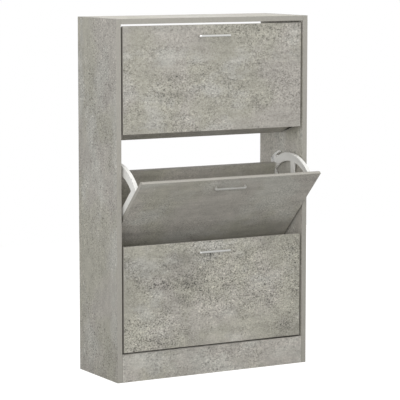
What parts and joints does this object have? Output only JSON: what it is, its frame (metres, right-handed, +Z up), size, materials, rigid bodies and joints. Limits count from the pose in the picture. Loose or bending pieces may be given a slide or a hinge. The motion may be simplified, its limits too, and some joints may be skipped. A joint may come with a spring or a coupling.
{
  "type": "shoe cabinet",
  "caption": "Tall, shallow shoe cabinet with tip-out flap trays on pivoting side brackets, slim bow handles, a plinth and an open back.",
  "frame": {"origin": "middle of the plinth's foot face, on the floor at the cabinet's front", "axes": "+X to the right seen from the front, +Y from the front to the back, +Z up"},
  "size_m": [0.63, 0.3508, 1.03],
  "materials": {
    "board": "concrete-look melamine on chipboard, satin",
    "bracket_plastic": "moulded off-white plastic, satin",
    "handle_metal": "bright satin metal",
    "fastener_steel": "zinc-plated steel"
  },
  "bodies": {
    "carcass": {"side_panel_left": "board", "side_panel_right": "board", "top_panel": "board", "bottom_panel": "board", "plinth": "board", "cam_lock_top_1": "fastener_steel", "cam_lock_top_2": "fastener_steel", "cam_lock_top_3": "fastener_steel", "cam_lock_top_4": "fastener_steel", "cam_lock_plinth_left": "fastener_steel", "cam_lock_plinth_right": "fastener_steel", "back_rail_lower": "board", "cam_lock_rail_lower_left": "fastener_steel", "cam_lock_rail_lower_right": "fastener_steel", "pivot_pin_lower_left": "fastener_steel", "pivot_pin_lower_right": "fastener_steel", "guide_peg_lower_left": "bracket_plastic", "guide_peg_lower_right": "bracket_plastic", "back_rail_middle": "board", "cam_lock_rail_middle_left": "fastener_steel", "cam_lock_rail_middle_right": "fastener_steel", "pivot_pin_middle_left": "fastener_steel", "pivot_pin_middle_right": "fastener_steel", "guide_peg_middle_left": "bracket_plastic", "guide_peg_middle_right": "bracket_plastic", "back_rail_upper": "board", "cam_lock_rail_upper_left": "fastener_steel", "cam_lock_rail_upper_right": "fastener_steel", "pivot_pin_upper_left": "fastener_steel", "pivot_pin_upper_right": "fastener_steel", "guide_peg_upper_left": "bracket_plastic", "guide_peg_upper_right": "bracket_plastic"},
    "tray_lower": {"flap_front_lower": "board", "bottom_board_lower": "board", "back_board_lower": "board", "bracket_lower_left": "bracket_plastic", "bracket_lower_right": "bracket_plastic", "handle_lower": "handle_metal", "handle_screw_lower_left": "fastener_steel", "handle_screw_lower_right": "fastener_steel"},
    "tray_middle": {"flap_front_middle": "board", "bottom_board_middle": "board", "back_board_middle": "board", "bracket_middle_left": "bracket_plastic", "bracket_middle_right": "bracket_plastic", "handle_middle": "handle_metal", "handle_screw_middle_left": "fastener_steel", "handle_screw_middle_right": "fastener_steel"},
    "tray_upper": {"flap_front_upper": "board", "bottom_board_upper": "board", "back_board_upper": "board", "bracket_upper_left": "bracket_plastic", "bracket_upper_right": "bracket_plastic", "handle_upper": "handle_metal", "handle_screw_upper_left": "fastener_steel", "handle_screw_upper_right": "fastener_steel"}
  },
  "joints": [
    {"name": "tray_lower_tilt", "type": "hinge", "parent": "carcass", "child": "tray_lower", "pos_m": [0, 0.085, 0.1915], "axis": [1, 0, 0], "range_deg": [0, 45]},
    {"name": "tray_middle_tilt", "type": "hinge", "parent": "carcass", "child": "tray_middle", "pos_m": [0, 0.085, 0.502], "axis": [1, 0, 0], "range_deg": [-45, 0]},
    {"name": "tray_upper_tilt", "type": "hinge", "parent": "carcass", "child": "tray_upper", "pos_m": [0, 0.085, 0.8125], "axis": [1, 0, 0], "range_deg": [0, 45]}
  ]
}
